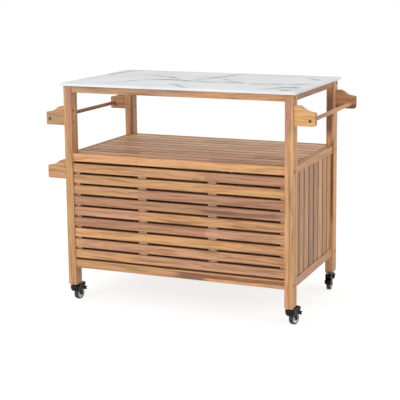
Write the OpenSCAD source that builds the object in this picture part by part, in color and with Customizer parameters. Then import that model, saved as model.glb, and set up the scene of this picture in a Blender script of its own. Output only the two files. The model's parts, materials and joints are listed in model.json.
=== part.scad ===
// Rolling bar cart: acacia frame with a slatted cabinet, an open shelf, a stone-look top,
// a towel bar at one end and a bottle rack at the other, on four braked swivel casters.
// X runs along the cart, Y to the back, Z up. The origin is on the floor under the centre.

/* [Frame] */
// Length of the frame over the outer faces of the posts
leg_span_x = 966; // [860:1:1200]
// Depth of the frame over the outer faces of the posts
leg_span_y = 580; // [440:1:640]
// Post size along the length of the cart
leg_x = 34; // [30:1:44]
// Post size along the depth of the cart
leg_y = 50; // [44:1:60]
// Height of the post tops above the floor
leg_top_z = 890; // [860:1:980]
// Rounding of the long edges of the posts, rails and bearers
edge_r = 2.5; // [1:0.5:4]
// Width of the bevel round the foot of each post
foot_bevel_w = 4; // [1:0.5:6]
// Height of the bevel round the foot of each post
foot_bevel_h = 8; // [2:0.5:14]

/* [Tabletop] */
// Thickness of the stone-look slab
slab_t = 10; // [8:1:20]
// Overhang of the slab past the posts, along the length
slab_over_x = 12; // [4:1:30]
// Overhang of the slab past the posts, along the depth
slab_over_y = 14; // [10:1:30]
// Radius of the slab's corners in plan
slab_corner_r = 4; // [2:1:20]

/* [Rails] */
// Thickness of every rail
rail_t = 22; // [20:1:26]
// Setback of the rails from the outer faces of the posts
rail_setback = 5; // [3:1:8]
// Height of the rails under the tabletop
top_rail_h = 28; // [24:1:50]
// Height of the rails round the shelf
shelf_rail_h = 32; // [30:1:50]
// Height of the rails round the cabinet floor
bottom_rail_h = 34; // [32:1:60]
// Height of the underside of the bottom rails above the floor
bottom_rail_z = 145; // [120:1:200]
// Length of the tenons on the side rails
tenon_len = 12; // [8:1:14]
// Thickness of the tenons
tenon_t = 10; // [8:1:12]
// Shoulder above and below each tenon
tenon_shoulder = 5; // [3:1:8]

/* [Shelf and floor] */
// Height of the shelf surface above the floor
shelf_z = 617; // [600:1:650]
// Thickness of the slats of the shelf, the floor, the front and the doors
slat_t = 12; // [10:1:16]
// Number of slats in the shelf and in the cabinet floor
shelf_slat_n = 9; // [6:1:11]
// Gap between neighbouring shelf slats
shelf_gap = 7; // [3:0.5:8]
// Width of each cross bearer
bearer_w = 22; // [18:1:34]
// Height of each cross bearer
bearer_h = 18; // [14:1:18]
// Clearance of the slats round the posts and side rails
notch_gap = 2; // [1:0.5:4]
// Rounding of the slat edges
slat_r = 1.5; // [0.5:0.5:3]

/* [Slatted walls] */
// Number of slats in the front panel and in each door
front_slat_n = 9; // [6:1:11]
// Gap between neighbouring slats of the front panel
front_gap = 8.5; // [4:0.5:10]
// Gap between the ends of the front slats and the posts
slat_end_gap = 1; // [0.5:0.5:3]
// Width of the upright battens behind the slats
batten_w = 36; // [28:1:50]
// Width of the battens at the two ends of the front panel
end_batten_w = 22; // [18:1:36]
// Thickness of the upright battens
batten_t = 20; // [16:1:24]
// Distance that the battens stop short of the outer edges of the slats
batten_short = 6; // [2:1:15]
// Number of upright slats in each side panel
side_slat_n = 8; // [5:1:10]
// Gap between neighbouring slats of the side panels
side_gap = 6.5; // [4:0.5:10]
// Thickness of the side panel slats
side_slat_t = 10; // [8:1:12]
// Depth of the groove in the rails that takes the side slats
groove_depth = 6; // [4:1:8]

/* [Doors] */
// Gap between neighbouring slats of each door
door_slat_gap = 3; // [2:0.5:8]
// Clearance between each door and its post
door_gap = 3; // [2.5:0.5:5]
// Clearance between the two doors
door_meet_gap = 3; // [2:0.5:6]
// Height of each hinge
hinge_h = 50; // [40:1:76]
// Thickness of the hinge leaves
hinge_leaf_t = 1.1; // [0.8:0.1:1.2]
// Radius of the hinge knuckles
hinge_knuckle_r = 3; // [2.6:0.1:4]
// Radius of the hinge pins
hinge_pin_r = 1.6; // [1.2:0.1:1.8]
// Overhang of the hinge pin's heads past the pin
hinge_pin_head = 0.8; // [0.4:0.1:1]
// Width of each hinge leaf on the wood
hinge_leaf_w = 28; // [20:1:32]
// Distance of each hinge from the nearer end of the door
hinge_inset = 55; // [30:1:90]
// Largest radius of the door knobs
knob_r = 13; // [11:0.5:16]
// Radius of the neck of the door knobs
knob_neck_r = 7; // [5:0.5:8]
// Length of the door knobs
knob_len = 17; // [14:0.5:18]
// Width of the magnetic catch over both doors
catch_w = 60; // [50:1:80]
// Height of the magnetic catch below the rear shelf rail
catch_drop = 24; // [20:1:40]
// Height of the magnetic catch against the rear shelf rail
catch_lap = 14; // [10:1:24]
// Depth of the magnetic catch
catch_depth = 17; // [12:1:22]
// Width of each strike plate
strike_w = 24; // [16:1:28]
// Height of each strike plate
strike_h = 13; // [10:1:16]
// Thickness of the strike plates
strike_t = 1.2; // [0.8:0.1:2]

/* [Brackets and bars] */
// Length of each ogee bracket out from its post
bracket_len = 83; // [78:1:110]
// Height of each ogee bracket at its post
bracket_h = 76; // [70:1:100]
// Height of each ogee bracket at its tip
bracket_tip_h = 51; // [46:1:60]
// Thickness of each ogee bracket
bracket_t = 20; // [18:1:24]
// Length of the level top of each bracket beside its post
bracket_flat = 21; // [10:1:26]
// Length of the ogee curve beyond the level top
ogee_run = 35; // [25:1:45]
// Slope of the bracket's top edge, as fall per length
bracket_slope = 0.2; // [0.05:0.01:0.3]
// Radius of the lower tip corner on the towel bar brackets
handle_tip_r = 9; // [3:1:14]
// Radius of the lower tip corner on the bottle bar brackets and rack ends
rack_tip_r = 3; // [2:1:9]
// Height of the lower screw in each bracket above its lower edge
bracket_screw_low = 12; // [10:1:20]
// Depth of the upper screw in each bracket below its top
bracket_screw_drop = 17; // [12:1:24]
// Distance of the towel bar's centre from the tip of its brackets
handle_bar_inset = 20; // [16:1:24]
// Height of the towel bar's centre above the lower edge of its brackets
handle_bar_rise = 21; // [18:1:28]
// Distance of the bottle bar's centre from the tip of its brackets
bottle_bar_inset = 15; // [13:1:20]
// Height of the bottle bar's centre above the lower edge of its brackets
bottle_bar_rise = 24; // [18:1:28]
// Diameter of the towel bar and of the bottle bar
bar_d = 16; // [14:1:20]
// Depth of the sockets that hold the bars
bar_socket = 6; // [4:1:8]
// Depth of the lower edge of the towel bar brackets below the post tops
handle_drop = 117; // [110:1:130]
// Depth of the lower edge of the bottle bar brackets below the post tops
bottle_bar_drop = 161; // [150:1:190]
// Depth of the lower edge of the bottle rack ends below the shelf surface
rack_drop = 106; // [105:1:217]
// Width of each slat in the floor of the bottle rack
rack_slat_w = 34; // [28:1:36]
// Thickness of the slats in the bottle rack
rack_slat_t = 10; // [8:1:12]
// Height of the retaining slat of the bottle rack
rack_lip_h = 24; // [16:1:26]
// Height of the rack's floor slats above the lower edge of its ends
rack_floor_rise = 8; // [4:1:12]
// Distance of the rack's slats from its posts and from the tips of its ends
rack_margin = 4; // [2:0.5:6]

/* [Fasteners] */
// Diameter of the frame bolts
bolt_d = 6; // [5:0.5:7]
// Diameter of the frame bolt heads
bolt_head_d = 10; // [9:0.5:11]
// Height of the frame bolt heads
bolt_head_h = 5; // [4:0.5:6]
// Size of the hexagon socket over its corners
bolt_socket_d = 5.7; // [4.5:0.1:7]
// Depth of the hexagon socket
bolt_socket_depth = 3; // [2:0.5:3.5]
// Diameter of the key hole over each bolt head
key_hole_d = 13; // [12:0.5:15]
// Depth of the bolt head below the face of its post
bolt_sink = 4; // [1:0.5:6]
// Length of the frame bolts under the head
bolt_len = 62; // [56:1:66]
// Diameter of the barrel nuts
nut_d = 10; // [9:0.5:11]
// Length of the barrel nuts
nut_len = 15; // [12:0.5:16]
// Distance of the barrel nuts from the end of the rail
nut_inset = 30; // [20:1:34]
// Diameter of the screws that hold the brackets and bars
screw_d = 4.4; // [3.5:0.1:5]
// Diameter of the screw heads
screw_head_d = 8; // [7:0.5:9]
// Height of the screw heads
screw_head_h = 3; // [2:0.5:4]
// Depth of the screw heads below the wood
screw_sink = 2; // [1:0.5:3]
// Length of the screws in the bracket or bar
screw_bite = 24; // [16:1:30]
// Diameter of the hole over each bar screw
bar_hole_d = 12; // [10:0.5:13]
// Depth of the bar screws' heads below the face of the bracket
bar_hole_sink = 4; // [2:0.5:5]

/* [Casters] */
// Height of the caster from the floor to the foot of the post
caster_h = 70; // [68:1:80]
// Diameter of the caster wheels
wheel_d = 50; // [46:1:50]
// Width of the tread of the caster wheels
wheel_w = 18; // [16:1:20]
// Thickness of the tread
tread_t = 6; // [5:0.5:7]
// Horizontal distance from the swivel axis to the axle
trail = 24; // [22:1:26]
// Radius of the swivel head of the fork
head_r = 21; // [18:0.5:23]
// Thickness of the cheeks of the fork
cheek_t = 2.5; // [2:0.1:3]
// Projection of the wheel hub past the tread on each side
hub_proud = 0.8; // [0.4:0.1:1.2]
// Clearance between the wheel hub and the cheeks
wheel_side_gap = 0.4; // [0.3:0.1:1]
// Clearance between the top of the wheel and the fork's head
head_gap = 4; // [3.5:0.5:5]
// Diameter of the stem in the foot of the post
stem_d = 10; // [8:0.5:12]
// Length of the stem in the foot of the post
stem_len = 38; // [30:1:50]
// Radius of the stem flange under the post
flange_r = 12; // [11:0.5:15]
// Thickness of the stem flange
flange_t = 2.5; // [2:0.5:4]
// Overhang of the riveted stem head past the stem
rivet_over = 3; // [2:0.5:4]
// Thickness of the riveted stem head
rivet_h = 3; // [2:0.5:3.5]
// Diameter of the wheel axle
axle_d = 6; // [5:0.5:8]
// Diameter of the brake lever's pivot pin
brake_pin_d = 4; // [3:0.5:5]
// Distance of the brake lever's pivot behind the axle
brake_back = 14; // [13.5:0.5:15]
// Height of the brake lever's pivot above the axle
brake_rise = 25; // [24.5:0.5:26]
// Width of the brake pedal
pedal_w = 27; // [24:1:32]
// Reach of the brake pedal from its pivot
pedal_reach = 23; // [21:1:26]
// Thickness of the brake pedal at its tips
pedal_t = 3.2; // [2.6:0.2:3.6]
// Distance of the centre of the hood's rounded rear end behind the axle
hood_back = 17; // [16:0.5:18]
// Radius of the rounded rear end of the fork's hood
hood_r = 10; // [9:0.5:10.5]
// Rise of the hood's top from the swivel head to its rear end
hood_rise = 3; // [1:0.5:4]
// Clearance between the tread and the inside of the hood
hood_gap = 2.2; // [1.5:0.1:3]
// Depth of the fork's front shield below its swivel head
shield_drop = 12; // [8:1:14]

/* [Hidden] */

$fn = 48;

wood = "#c08a5a";
wood_dark = "#a06a48";
steel = "#b8bcc0";
black = "#1d1d20";

// Clearance of a glued or bolted joint
fit_gap = 0.1;
// Radial clearance of a pin, stem or axle that turns
turn_gap = 0.05;
// Clearance between faces that pass each other
pass_gap = 0.3;
// Extra length of a cut past the face that it opens
cut_over = 1;
// Depth of a blind hole past the end of what it holds
blind_spare = 2;

half_x = leg_span_x / 2;
half_y = leg_span_y / 2;
post_cx = half_x - leg_x / 2;
post_cy = half_y - leg_y / 2;
post_in_x = half_x - leg_x;
post_in_y = half_y - leg_y;

// Middle plane and inner face of the long rails, then of the side rails
rail_cy = half_y - rail_setback - rail_t / 2;
rail_in_y = half_y - rail_setback - rail_t;
rail_cx = half_x - rail_setback - rail_t / 2;
rail_in_x = half_x - rail_setback - rail_t;

top_rail_cz = leg_top_z - top_rail_h / 2;
shelf_rail_cz = shelf_z - shelf_rail_h / 2;
bottom_rail_cz = bottom_rail_z + bottom_rail_h / 2;
rail_levels = [[top_rail_cz, top_rail_h], [shelf_rail_cz, shelf_rail_h], [bottom_rail_cz, bottom_rail_h]];

// The opening that the front panel and the doors fill
open_z0 = bottom_rail_z + bottom_rail_h;
open_z1 = shelf_z - shelf_rail_h;
wall_face_y = half_y - rail_setback;
// Width of each level slat of a wall with this gap above, between and below its slats
function slat_w(gap) = (open_z1 - open_z0 - (front_slat_n + 1) * gap) / front_slat_n;
batten_z0 = open_z0 + max(front_gap, door_slat_gap) + batten_short;
batten_z1 = open_z1 - max(front_gap, door_slat_gap) - batten_short;
inner_batten_x = post_in_x / 3;

floor_z = open_z0;

// Hinge axis of the right-hand door
hinge_x = post_in_x - door_gap / 2;
hinge_y = half_y + pass_gap + hinge_knuckle_r;
door_x1 = post_in_x - door_gap;
door_x0 = door_meet_gap / 2;
hinge_levels = [batten_z0 + hinge_inset, batten_z1 - hinge_inset - hinge_h];

// Lower edges of the brackets
handle_z = leg_top_z - handle_drop;
bottle_bar_z = leg_top_z - bottle_bar_drop;
rack_z = shelf_z - rack_drop;
bracket_cy = rail_cy;
bracket_in_y = bracket_cy - bracket_t / 2;
bracket_screw_rise = [bracket_screw_low, bracket_h - bracket_screw_drop];

// Caster sizes, from the floor up
wheel_r = wheel_d / 2;
head_z0 = wheel_d + head_gap;
head_z1 = caster_h - flange_t - pass_gap;
hub_half = wheel_w / 2 + hub_proud;
cheek_in = hub_half + wheel_side_gap;
cheek_out = cheek_in + cheek_t;
brake_u = trail + brake_back;
brake_z = wheel_r + brake_rise;
hood_u = trail + hood_back;
hood_z = head_z1 + hood_rise - hood_r;

// Swivel angle of each caster in the photographed pose: front left, front right, rear left, rear right
caster_turn = [83, 74, -60, -84];
corner_sign = [[-1, -1], [1, -1], [-1, 1], [1, 1]];

// Rectangle with round corners, centred
module round_rect(w, h, r) {
    square([w - 2 * r, h], center = true);
    square([w, h - 2 * r], center = true);
    for (sx = [-1, 1], sy = [-1, 1])
        translate([sx * (w / 2 - r), sy * (h / 2 - r)])
            circle(r);
}

// Bars with eased long edges, centred on the origin, along one axis
module bar_along_x(lx, ly, lz, r) {
    rotate([90, 0, 90])
        linear_extrude(lx, center = true)
            round_rect(ly, lz, r);
}

module bar_along_y(lx, ly, lz, r) {
    rotate([90, 0, 0])
        linear_extrude(ly, center = true)
            round_rect(lx, lz, r);
}

module bar_along_z(lx, ly, lz, r) {
    linear_extrude(lz, center = true)
        round_rect(lx, ly, r);
}

// A solid of revolution or a hole along X or Y, from a start point
module rod_x(r, len) {
    rotate([0, 90, 0])
        cylinder(r = r, h = len);
}

module rod_y(r, len) {
    rotate([-90, 0, 0])
        cylinder(r = r, h = len);
}

// Everything is drawn for the right rear corner and mirrored to the others
module corner(sign) {
    mirror_x(sign[0])
        mirror_y(sign[1])
            children();
}

module mirror_x(s) {
    if (s < 0)
        mirror([1, 0, 0])
            children();
    else
        children();
}

module mirror_y(s) {
    if (s < 0)
        mirror([0, 1, 0])
            children();
    else
        children();
}

// Lower edges of the brackets on one end of the cart: towel bar on the right, rack on the left
function bracket_levels(sx) = sx > 0 ? [handle_z] : [bottle_bar_z, rack_z];

module post(sx, sy) {
    color(wood)
        corner([sx, sy])
            difference() {
                translate([post_cx, post_cy, (leg_top_z + caster_h) / 2])
                    bar_along_z(leg_x, leg_y, leg_top_z - caster_h, edge_r);
                foot_bevel();
                translate([post_cx, post_cy, caster_h - cut_over])
                    cylinder(d = stem_d + 2 * fit_gap, h = stem_len + blind_spare + cut_over);
                for (level = rail_levels) {
                    bolt_hole(level[0]);
                    mortise(level[0], level[1]);
                }
                for (z = bracket_levels(sx), rise = bracket_screw_rise)
                    post_screw_hole(z + rise);
            }
}

// Four wedges that bevel the foot of a post
module foot_bevel() {
    translate([post_cx, post_cy, caster_h]) {
        for (turn = [0, 180])
            rotate([0, 0, turn])
                foot_wedge(leg_x / 2, leg_y);
        for (turn = [90, 270])
            rotate([0, 0, turn])
                foot_wedge(leg_y / 2, leg_x);
    }
}

module foot_wedge(reach, len) {
    translate([reach, 0, 0])
        rotate([90, 0, 0])
            linear_extrude(len + 2 * cut_over, center = true)
                polygon([[-foot_bevel_w, 0], [-foot_bevel_w, -cut_over], [cut_over, -cut_over],
                    [cut_over, foot_bevel_h], [0, foot_bevel_h]]);
}

module bolt_hole(z) {
    translate([post_in_x - cut_over, rail_cy, z])
        rod_x(bolt_d / 2 + fit_gap, leg_x + 2 * cut_over);
    translate([half_x - bolt_sink - bolt_head_h, rail_cy, z])
        rod_x(key_hole_d / 2, bolt_sink + bolt_head_h + cut_over);
}

module mortise(z, h) {
    translate([rail_cx, post_in_y + tenon_len / 2, z])
        cube([tenon_t + 2 * fit_gap, tenon_len + 2 * cut_over, h - 2 * tenon_shoulder + 2 * fit_gap],
            center = true);
}

module post_screw_hole(z) {
    translate([post_in_x - cut_over, bracket_cy, z])
        rod_x(screw_d / 2 + fit_gap, leg_x + 2 * cut_over);
    translate([post_in_x - cut_over, bracket_cy, z])
        rod_x(screw_head_d / 2 + fit_gap, screw_sink + screw_head_h + cut_over);
}

// Long rail between two posts, with a bolt hole and a barrel nut bore at each end
module long_rail(sy, level) {
    color(wood)
        mirror_y(sy)
            translate([0, rail_cy, level[0]])
                difference() {
                    bar_along_x(2 * post_in_x, rail_t, level[1], edge_r);
                    for (sx = [-1, 1])
                        mirror_x(sx) {
                            translate([post_in_x - bolt_len, 0, 0])
                                rod_x(bolt_d / 2 + fit_gap, bolt_len + cut_over);
                            translate([post_in_x - nut_inset, -rail_t / 2 - cut_over, 0])
                                rod_y(nut_d / 2 + fit_gap, rail_t / 2 + nut_len / 2 + cut_over);
                        }
                }
}

// Side rail with a tenon at each end and, where a panel enters it, a groove
module side_rail(sx, level, groove) {
    color(wood)
        mirror_x(sx)
            translate([rail_cx, 0, level[0]])
                difference() {
                    union() {
                        bar_along_y(rail_t, 2 * post_in_y, level[1], edge_r);
                        cube([tenon_t, 2 * (post_in_y + tenon_len), level[1] - 2 * tenon_shoulder],
                            center = true);
                    }
                    translate([0, 0, groove * level[1] / 2])
                        cube([side_slat_t + 2 * fit_gap, 2 * post_in_y, 2 * groove_depth * abs(groove)],
                            center = true);
                }
}

module plain_side_rail(sx, level) {
    color(wood)
        mirror_x(sx)
            translate([rail_cx, 0, level[0]]) {
                bar_along_y(rail_t, 2 * post_in_y, level[1], edge_r);
                cube([tenon_t, 2 * (post_in_y + tenon_len), level[1] - 2 * tenon_shoulder], center = true);
            }
}

// Cross bearers between the long rails, at the given places along the cart
module bearers(places, z_top, h) {
    color(wood_dark)
        for (x = places)
            translate([x, 0, z_top - h / 2])
                bar_along_y(bearer_w, 2 * rail_in_y, h, edge_r);
}

end_bearer_x = post_in_x - bearer_w / 2;
bearer_places = [-end_bearer_x, -inner_batten_x, inner_batten_x, end_bearer_x];

// Slats along the cart between the long rails, notched round the posts
module deck(z_top) {
    deck_w = (2 * rail_in_y - (shelf_slat_n + 1) * shelf_gap) / shelf_slat_n;
    first_y = -rail_in_y + shelf_gap + deck_w / 2;
    color(wood)
        difference() {
            for (i = [0 : shelf_slat_n - 1])
                translate([0, first_y + i * (deck_w + shelf_gap), z_top - slat_t / 2])
                    bar_along_x(2 * (rail_in_x - notch_gap), deck_w, slat_t, slat_r);
            for (sign = corner_sign)
                corner(sign)
                    translate([post_in_x - notch_gap, post_in_y - notch_gap, z_top - slat_t - cut_over])
                        cube([leg_x, leg_y, slat_t + 2 * cut_over]);
        }
}

module tabletop() {
    color("#eceeee")
        translate([0, 0, leg_top_z])
            linear_extrude(slab_t)
                round_rect(leg_span_x + 2 * slab_over_x, leg_span_y + 2 * slab_over_y, slab_corner_r);
}

// Level slats of a wall between two places along the cart, at the rear, or mirrored to the front
module wall_slats(x0, x1, gap, sy) {
    color(wood)
        mirror_y(sy)
            for (i = [0 : front_slat_n - 1])
                translate([(x0 + x1) / 2, wall_face_y - slat_t / 2,
                        open_z0 + gap + slat_w(gap) / 2 + i * (slat_w(gap) + gap)])
                    bar_along_x(x1 - x0, slat_t, slat_w(gap), slat_r);
}

module wall_battens(places, width, sy) {
    color(wood_dark)
        mirror_y(sy)
            for (x = places)
                translate([x, wall_face_y - slat_t - batten_t / 2, (batten_z0 + batten_z1) / 2])
                    bar_along_z(width, batten_t, batten_z1 - batten_z0, edge_r);
}

module front_slats() {
    wall_slats(-post_in_x + slat_end_gap, post_in_x - slat_end_gap, front_gap, -1);
}

module front_battens() {
    end_x = post_in_x - end_batten_w / 2;
    wall_battens([-end_x, end_x], end_batten_w, -1);
    wall_battens([-inner_batten_x, inner_batten_x], batten_w, -1);
}

module side_slats(sx) {
    side_w = (2 * (post_in_y - slat_end_gap) - (side_slat_n - 1) * side_gap) / side_slat_n;
    z0 = open_z0 - groove_depth + fit_gap;
    z1 = open_z1 + groove_depth - fit_gap;
    color(wood)
        mirror_x(sx)
            for (i = [0 : side_slat_n - 1])
                translate([rail_cx, -post_in_y + slat_end_gap + side_w / 2 + i * (side_w + side_gap),
                        (z0 + z1) / 2])
                    bar_along_z(side_slat_t, side_w, z1 - z0, slat_r);
}

// Doors on the far side: slats on two battens
module door_slats(sx) {
    mirror_x(sx)
        wall_slats(door_x0, door_x1, door_slat_gap, 1);
}

module door_battens(sx) {
    mirror_x(sx)
        wall_battens([door_x0 + batten_w / 2, door_x1 - batten_w / 2], batten_w, 1);
}

knuckle_h = (hinge_h - 2 * pass_gap) / 3;

// One hinge leaf: plate against the wood and its share of the knuckle, about the pin axis
module hinge_leaf(side, knuckle_starts) {
    plate_x = side > 0 ? door_gap / 2 - hinge_leaf_t : -door_gap / 2;
    reach = hinge_knuckle_r + pass_gap;
    leaf_root_gap = 0.6;
    translate([plate_x, -reach - hinge_leaf_w, 0])
        cube([hinge_leaf_t, hinge_leaf_w, hinge_h]);
    for (z = knuckle_starts)
        translate([0, 0, z]) {
            translate([plate_x, -reach - cut_over, 0])
                cube([hinge_leaf_t, reach + cut_over - hinge_pin_r - leaf_root_gap, knuckle_h]);
            difference() {
                cylinder(r = hinge_knuckle_r, h = knuckle_h);
                translate([0, 0, -cut_over])
                    cylinder(r = hinge_pin_r + turn_gap, h = knuckle_h + 2 * cut_over);
            }
        }
}

module hinge_frame_leaves() {
    color(steel)
        for (sx = [-1, 1], z = hinge_levels)
            mirror_x(sx)
                translate([hinge_x, hinge_y, z]) {
                    hinge_leaf(1, [0, hinge_h - knuckle_h]);
                    hinge_pin();
                }
}

// The pin is headed at both ends, so it fills the bores of the outer knuckles
module hinge_pin() {
    cylinder(r = hinge_pin_r, h = hinge_h);
    for (z = [0, hinge_h - knuckle_h])
        translate([0, 0, z])
            cylinder(r = hinge_pin_r + 2 * turn_gap, h = knuckle_h);
    head_t = 1;
    for (z = [-head_t, hinge_h])
        translate([0, 0, z])
            cylinder(r = hinge_pin_r + hinge_pin_head, h = head_t);
}

module door_hardware(sx) {
    strike_inset = 5;
    strike_y = wall_face_y - slat_t - batten_t - strike_t;
    color(steel)
        mirror_x(sx) {
            for (z = hinge_levels)
                translate([hinge_x, hinge_y, z])
                    hinge_leaf(-1, [knuckle_h + pass_gap]);
            translate([door_x0 + strike_inset, strike_y, batten_z1 - strike_h])
                cube([strike_w, strike_t, strike_h]);
        }
}

// Turned knob on the middle slat of a door
module door_knob(sx) {
    door_slat_w = slat_w(door_slat_gap);
    middle_slat = floor(front_slat_n / 2);
    knob_z = open_z0 + door_slat_gap + door_slat_w / 2 + middle_slat * (door_slat_w + door_slat_gap);
    color(wood_dark)
        mirror_x(sx)
            translate([door_x0 + batten_w / 2, wall_face_y, knob_z])
                rotate([-90, 0, 0])
                    rotate_extrude()
                        knob_profile();
}

// Half section of a knob: a waisted neck and a head with a half-round rim
module knob_profile() {
    head_r = knob_len / 4;
    waist_r = knob_len / 5;
    difference() {
        union() {
            square([knob_neck_r, knob_len - 2 * head_r]);
            translate([0, knob_len - 2 * head_r])
                square([knob_r - head_r, 2 * head_r]);
            translate([knob_r - head_r, knob_len - head_r])
                circle(head_r);
        }
        translate([knob_neck_r + waist_r * 0.8, knob_len / 2 - head_r])
            circle(waist_r);
    }
}

// Double magnetic catch on the inner face of the rear shelf rail
module magnet_catch() {
    face_y = wall_face_y - slat_t - batten_t - strike_t - pass_gap;
    magnet_pocket_d = 5;
    color("white")
        difference() {
            union() {
                translate([-catch_w / 2, face_y - catch_depth, open_z1 - catch_drop])
                    cube([catch_w, catch_depth, catch_drop + catch_lap]);
                translate([-catch_w / 2, face_y - catch_depth, open_z1])
                    cube([catch_w, rail_in_y - face_y + catch_depth, catch_lap]);
            }
            for (sx = [-1, 1])
                translate([sx * catch_w / 4, face_y - catch_depth / 2, open_z1 - catch_drop - cut_over])
                    cylinder(d = magnet_pocket_d, h = magnet_pocket_d + cut_over);
        }
}

// Height of an ogee bracket's top edge at a distance from its post
function ogee_top(u) =
    let(
        line = bracket_tip_h + bracket_slope * (bracket_len - u),
        crest = bracket_h - bracket_tip_h - bracket_slope * (bracket_len - bracket_flat),
        t = min(1, (u - bracket_flat) / ogee_run))
    line + crest * (1 + cos(180 * t)) / 2;

// Outline of an ogee bracket: X out from the post, Y up from its lower edge
module ogee_outline(tip_r) {
    steps = 14;
    difference() {
        polygon(concat(
            [[0, 0], [bracket_len, 0], [bracket_len, bracket_tip_h]],
            [for (i = [steps : -1 : 0])
                [bracket_flat + ogee_run * i / steps, ogee_top(bracket_flat + ogee_run * i / steps)]],
            [[0, bracket_h]]));
        translate([bracket_len - tip_r, 0])
            difference() {
                translate([0, -cut_over])
                    square([tip_r + cut_over, tip_r + cut_over]);
                translate([0, tip_r])
                    circle(tip_r);
            }
    }
}

// Ogee board on the outer face of a post, with the two pilot holes of its screws
module ogee_board(z, tip_r) {
    difference() {
        translate([half_x, bracket_cy + bracket_t / 2, z])
            rotate([90, 0, 0])
                linear_extrude(bracket_t)
                    ogee_outline(tip_r);
        for (rise = bracket_screw_rise)
            translate([half_x - cut_over, bracket_cy, z + rise])
                rod_x(screw_d / 2 + fit_gap, screw_bite + blind_spare + cut_over);
    }
}

// Centre of the towel bar (sx = 1) or of the bottle bar (sx = -1), at the right-hand end
function bar_place(sx) = sx > 0
    ? [half_x + bracket_len - handle_bar_inset, handle_z + handle_bar_rise]
    : [half_x + bracket_len - bottle_bar_inset, bottle_bar_z + bottle_bar_rise];

// Bracket with a socket for the bar inside and a sunk screw outside
module bar_bracket(sx, sy, z) {
    place = bar_place(sx);
    color(wood)
        corner([sx, sy])
            difference() {
                ogee_board(z, sx > 0 ? handle_tip_r : rack_tip_r);
                translate([place[0], bracket_in_y - cut_over, place[1]])
                    rod_y(bar_d / 2 + fit_gap, bar_socket + cut_over);
                translate([place[0], bracket_in_y, place[1]])
                    rod_y(screw_d / 2 + fit_gap, bracket_t + cut_over);
                translate([place[0], bracket_in_y + bracket_t - bar_hole_sink - screw_head_h, place[1]])
                    rod_y(bar_hole_d / 2, bar_hole_sink + screw_head_h + cut_over);
            }
}

module round_bar(sx, tint) {
    half_len = bracket_in_y + bar_socket;
    place = bar_place(sx);
    color(tint)
        mirror_x(sx)
            difference() {
                translate([place[0], -half_len, place[1]])
                    rod_y(bar_d / 2, 2 * half_len);
                for (sy = [-1, 1])
                    mirror_y(sy)
                        translate([place[0], half_len - screw_bite - blind_spare, place[1]])
                            rod_y(screw_d / 2 + fit_gap, screw_bite + blind_spare + cut_over);
            }
}

module rack_end(sy) {
    color(wood)
        corner([-1, sy])
            ogee_board(rack_z, rack_tip_r);
}

// Two floor slats and one retaining slat between the ends of the bottle rack
module rack_slats() {
    x0 = half_x + rack_margin;
    x1 = half_x + bracket_len - rack_margin;
    floor_z0 = rack_z + rack_floor_rise;
    color(wood_dark)
        mirror_x(-1) {
            for (x = [x0 + rack_slat_w / 2, x1 - rack_slat_w / 2])
                translate([x, 0, floor_z0 + rack_slat_t / 2])
                    bar_along_y(rack_slat_w, 2 * bracket_in_y, rack_slat_t, slat_r);
            translate([x1 - rack_slat_t / 2, 0, floor_z0 + rack_slat_t + pass_gap + rack_lip_h / 2])
                bar_along_y(rack_slat_t, 2 * bracket_in_y, rack_lip_h, slat_r);
        }
}

// Socket-head bolts through the posts into barrel nuts in the long rails
module frame_bolts() {
    color(steel)
        for (sign = corner_sign, level = rail_levels)
            corner(sign)
                translate([0, rail_cy, level[0]]) {
                    bolt();
                    barrel_nut();
                }
}

module bolt() {
    head_x = half_x - bolt_sink - bolt_head_h;
    difference() {
        union() {
            translate([head_x, 0, 0])
                rod_x(bolt_head_d / 2, bolt_head_h);
            translate([head_x - bolt_len, 0, 0])
                rod_x(bolt_d / 2, bolt_len);
        }
        translate([head_x + bolt_head_h - bolt_socket_depth, 0, 0])
            rotate([0, 90, 0])
                cylinder(d = bolt_socket_d, h = bolt_socket_depth + cut_over, $fn = 6);
    }
}

module barrel_nut() {
    difference() {
        translate([post_in_x - nut_inset, -nut_len / 2, 0])
            rod_y(nut_d / 2, nut_len);
        translate([post_in_x - nut_inset - nut_d, 0, 0])
            rod_x(bolt_d / 2 + turn_gap, 2 * nut_d);
    }
}

// Wood screws: two through the post into each ogee board, one into each end of each bar
module screws() {
    color(steel) {
        for (sign = corner_sign, z = bracket_levels(sign[0]), rise = bracket_screw_rise)
            corner(sign)
                translate([post_in_x + screw_sink, bracket_cy, z + rise]) {
                    rod_x(screw_head_d / 2, screw_head_h);
                    rod_x(screw_d / 2, leg_x - screw_sink + screw_bite);
                }
        for (sign = corner_sign)
            corner(sign)
                translate([bar_place(sign[0])[0], bracket_cy + bracket_t / 2 - bar_hole_sink,
                        bar_place(sign[0])[1]])
                    mirror([0, 1, 0]) {
                        rod_y(screw_head_d / 2, screw_head_h);
                        rod_y(screw_d / 2, bracket_t - bar_hole_sink - bar_socket + screw_bite);
                    }
    }
}

// Stem with its flange under the post and a riveted head inside the fork
module caster_stems() {
    color(steel)
        for (sign = corner_sign)
            corner(sign)
                translate([post_cx, post_cy, 0]) {
                    translate([0, 0, head_z0 - pass_gap - rivet_h])
                        cylinder(d = stem_d, h = caster_h + stem_len - head_z0 + pass_gap + rivet_h);
                    translate([0, 0, head_z0 - pass_gap - rivet_h])
                        cylinder(r = stem_d / 2 + rivet_over, h = rivet_h);
                    translate([0, 0, caster_h - flange_t])
                        cylinder(r = flange_r, h = flange_t);
                }
}

// Puts a caster part, drawn with its trail along X, under the corner that it belongs to
module at_caster(i) {
    translate([corner_sign[i][0] * post_cx, corner_sign[i][1] * post_cy, 0])
        rotate([0, 0, caster_turn[i]])
            children();
}

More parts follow.
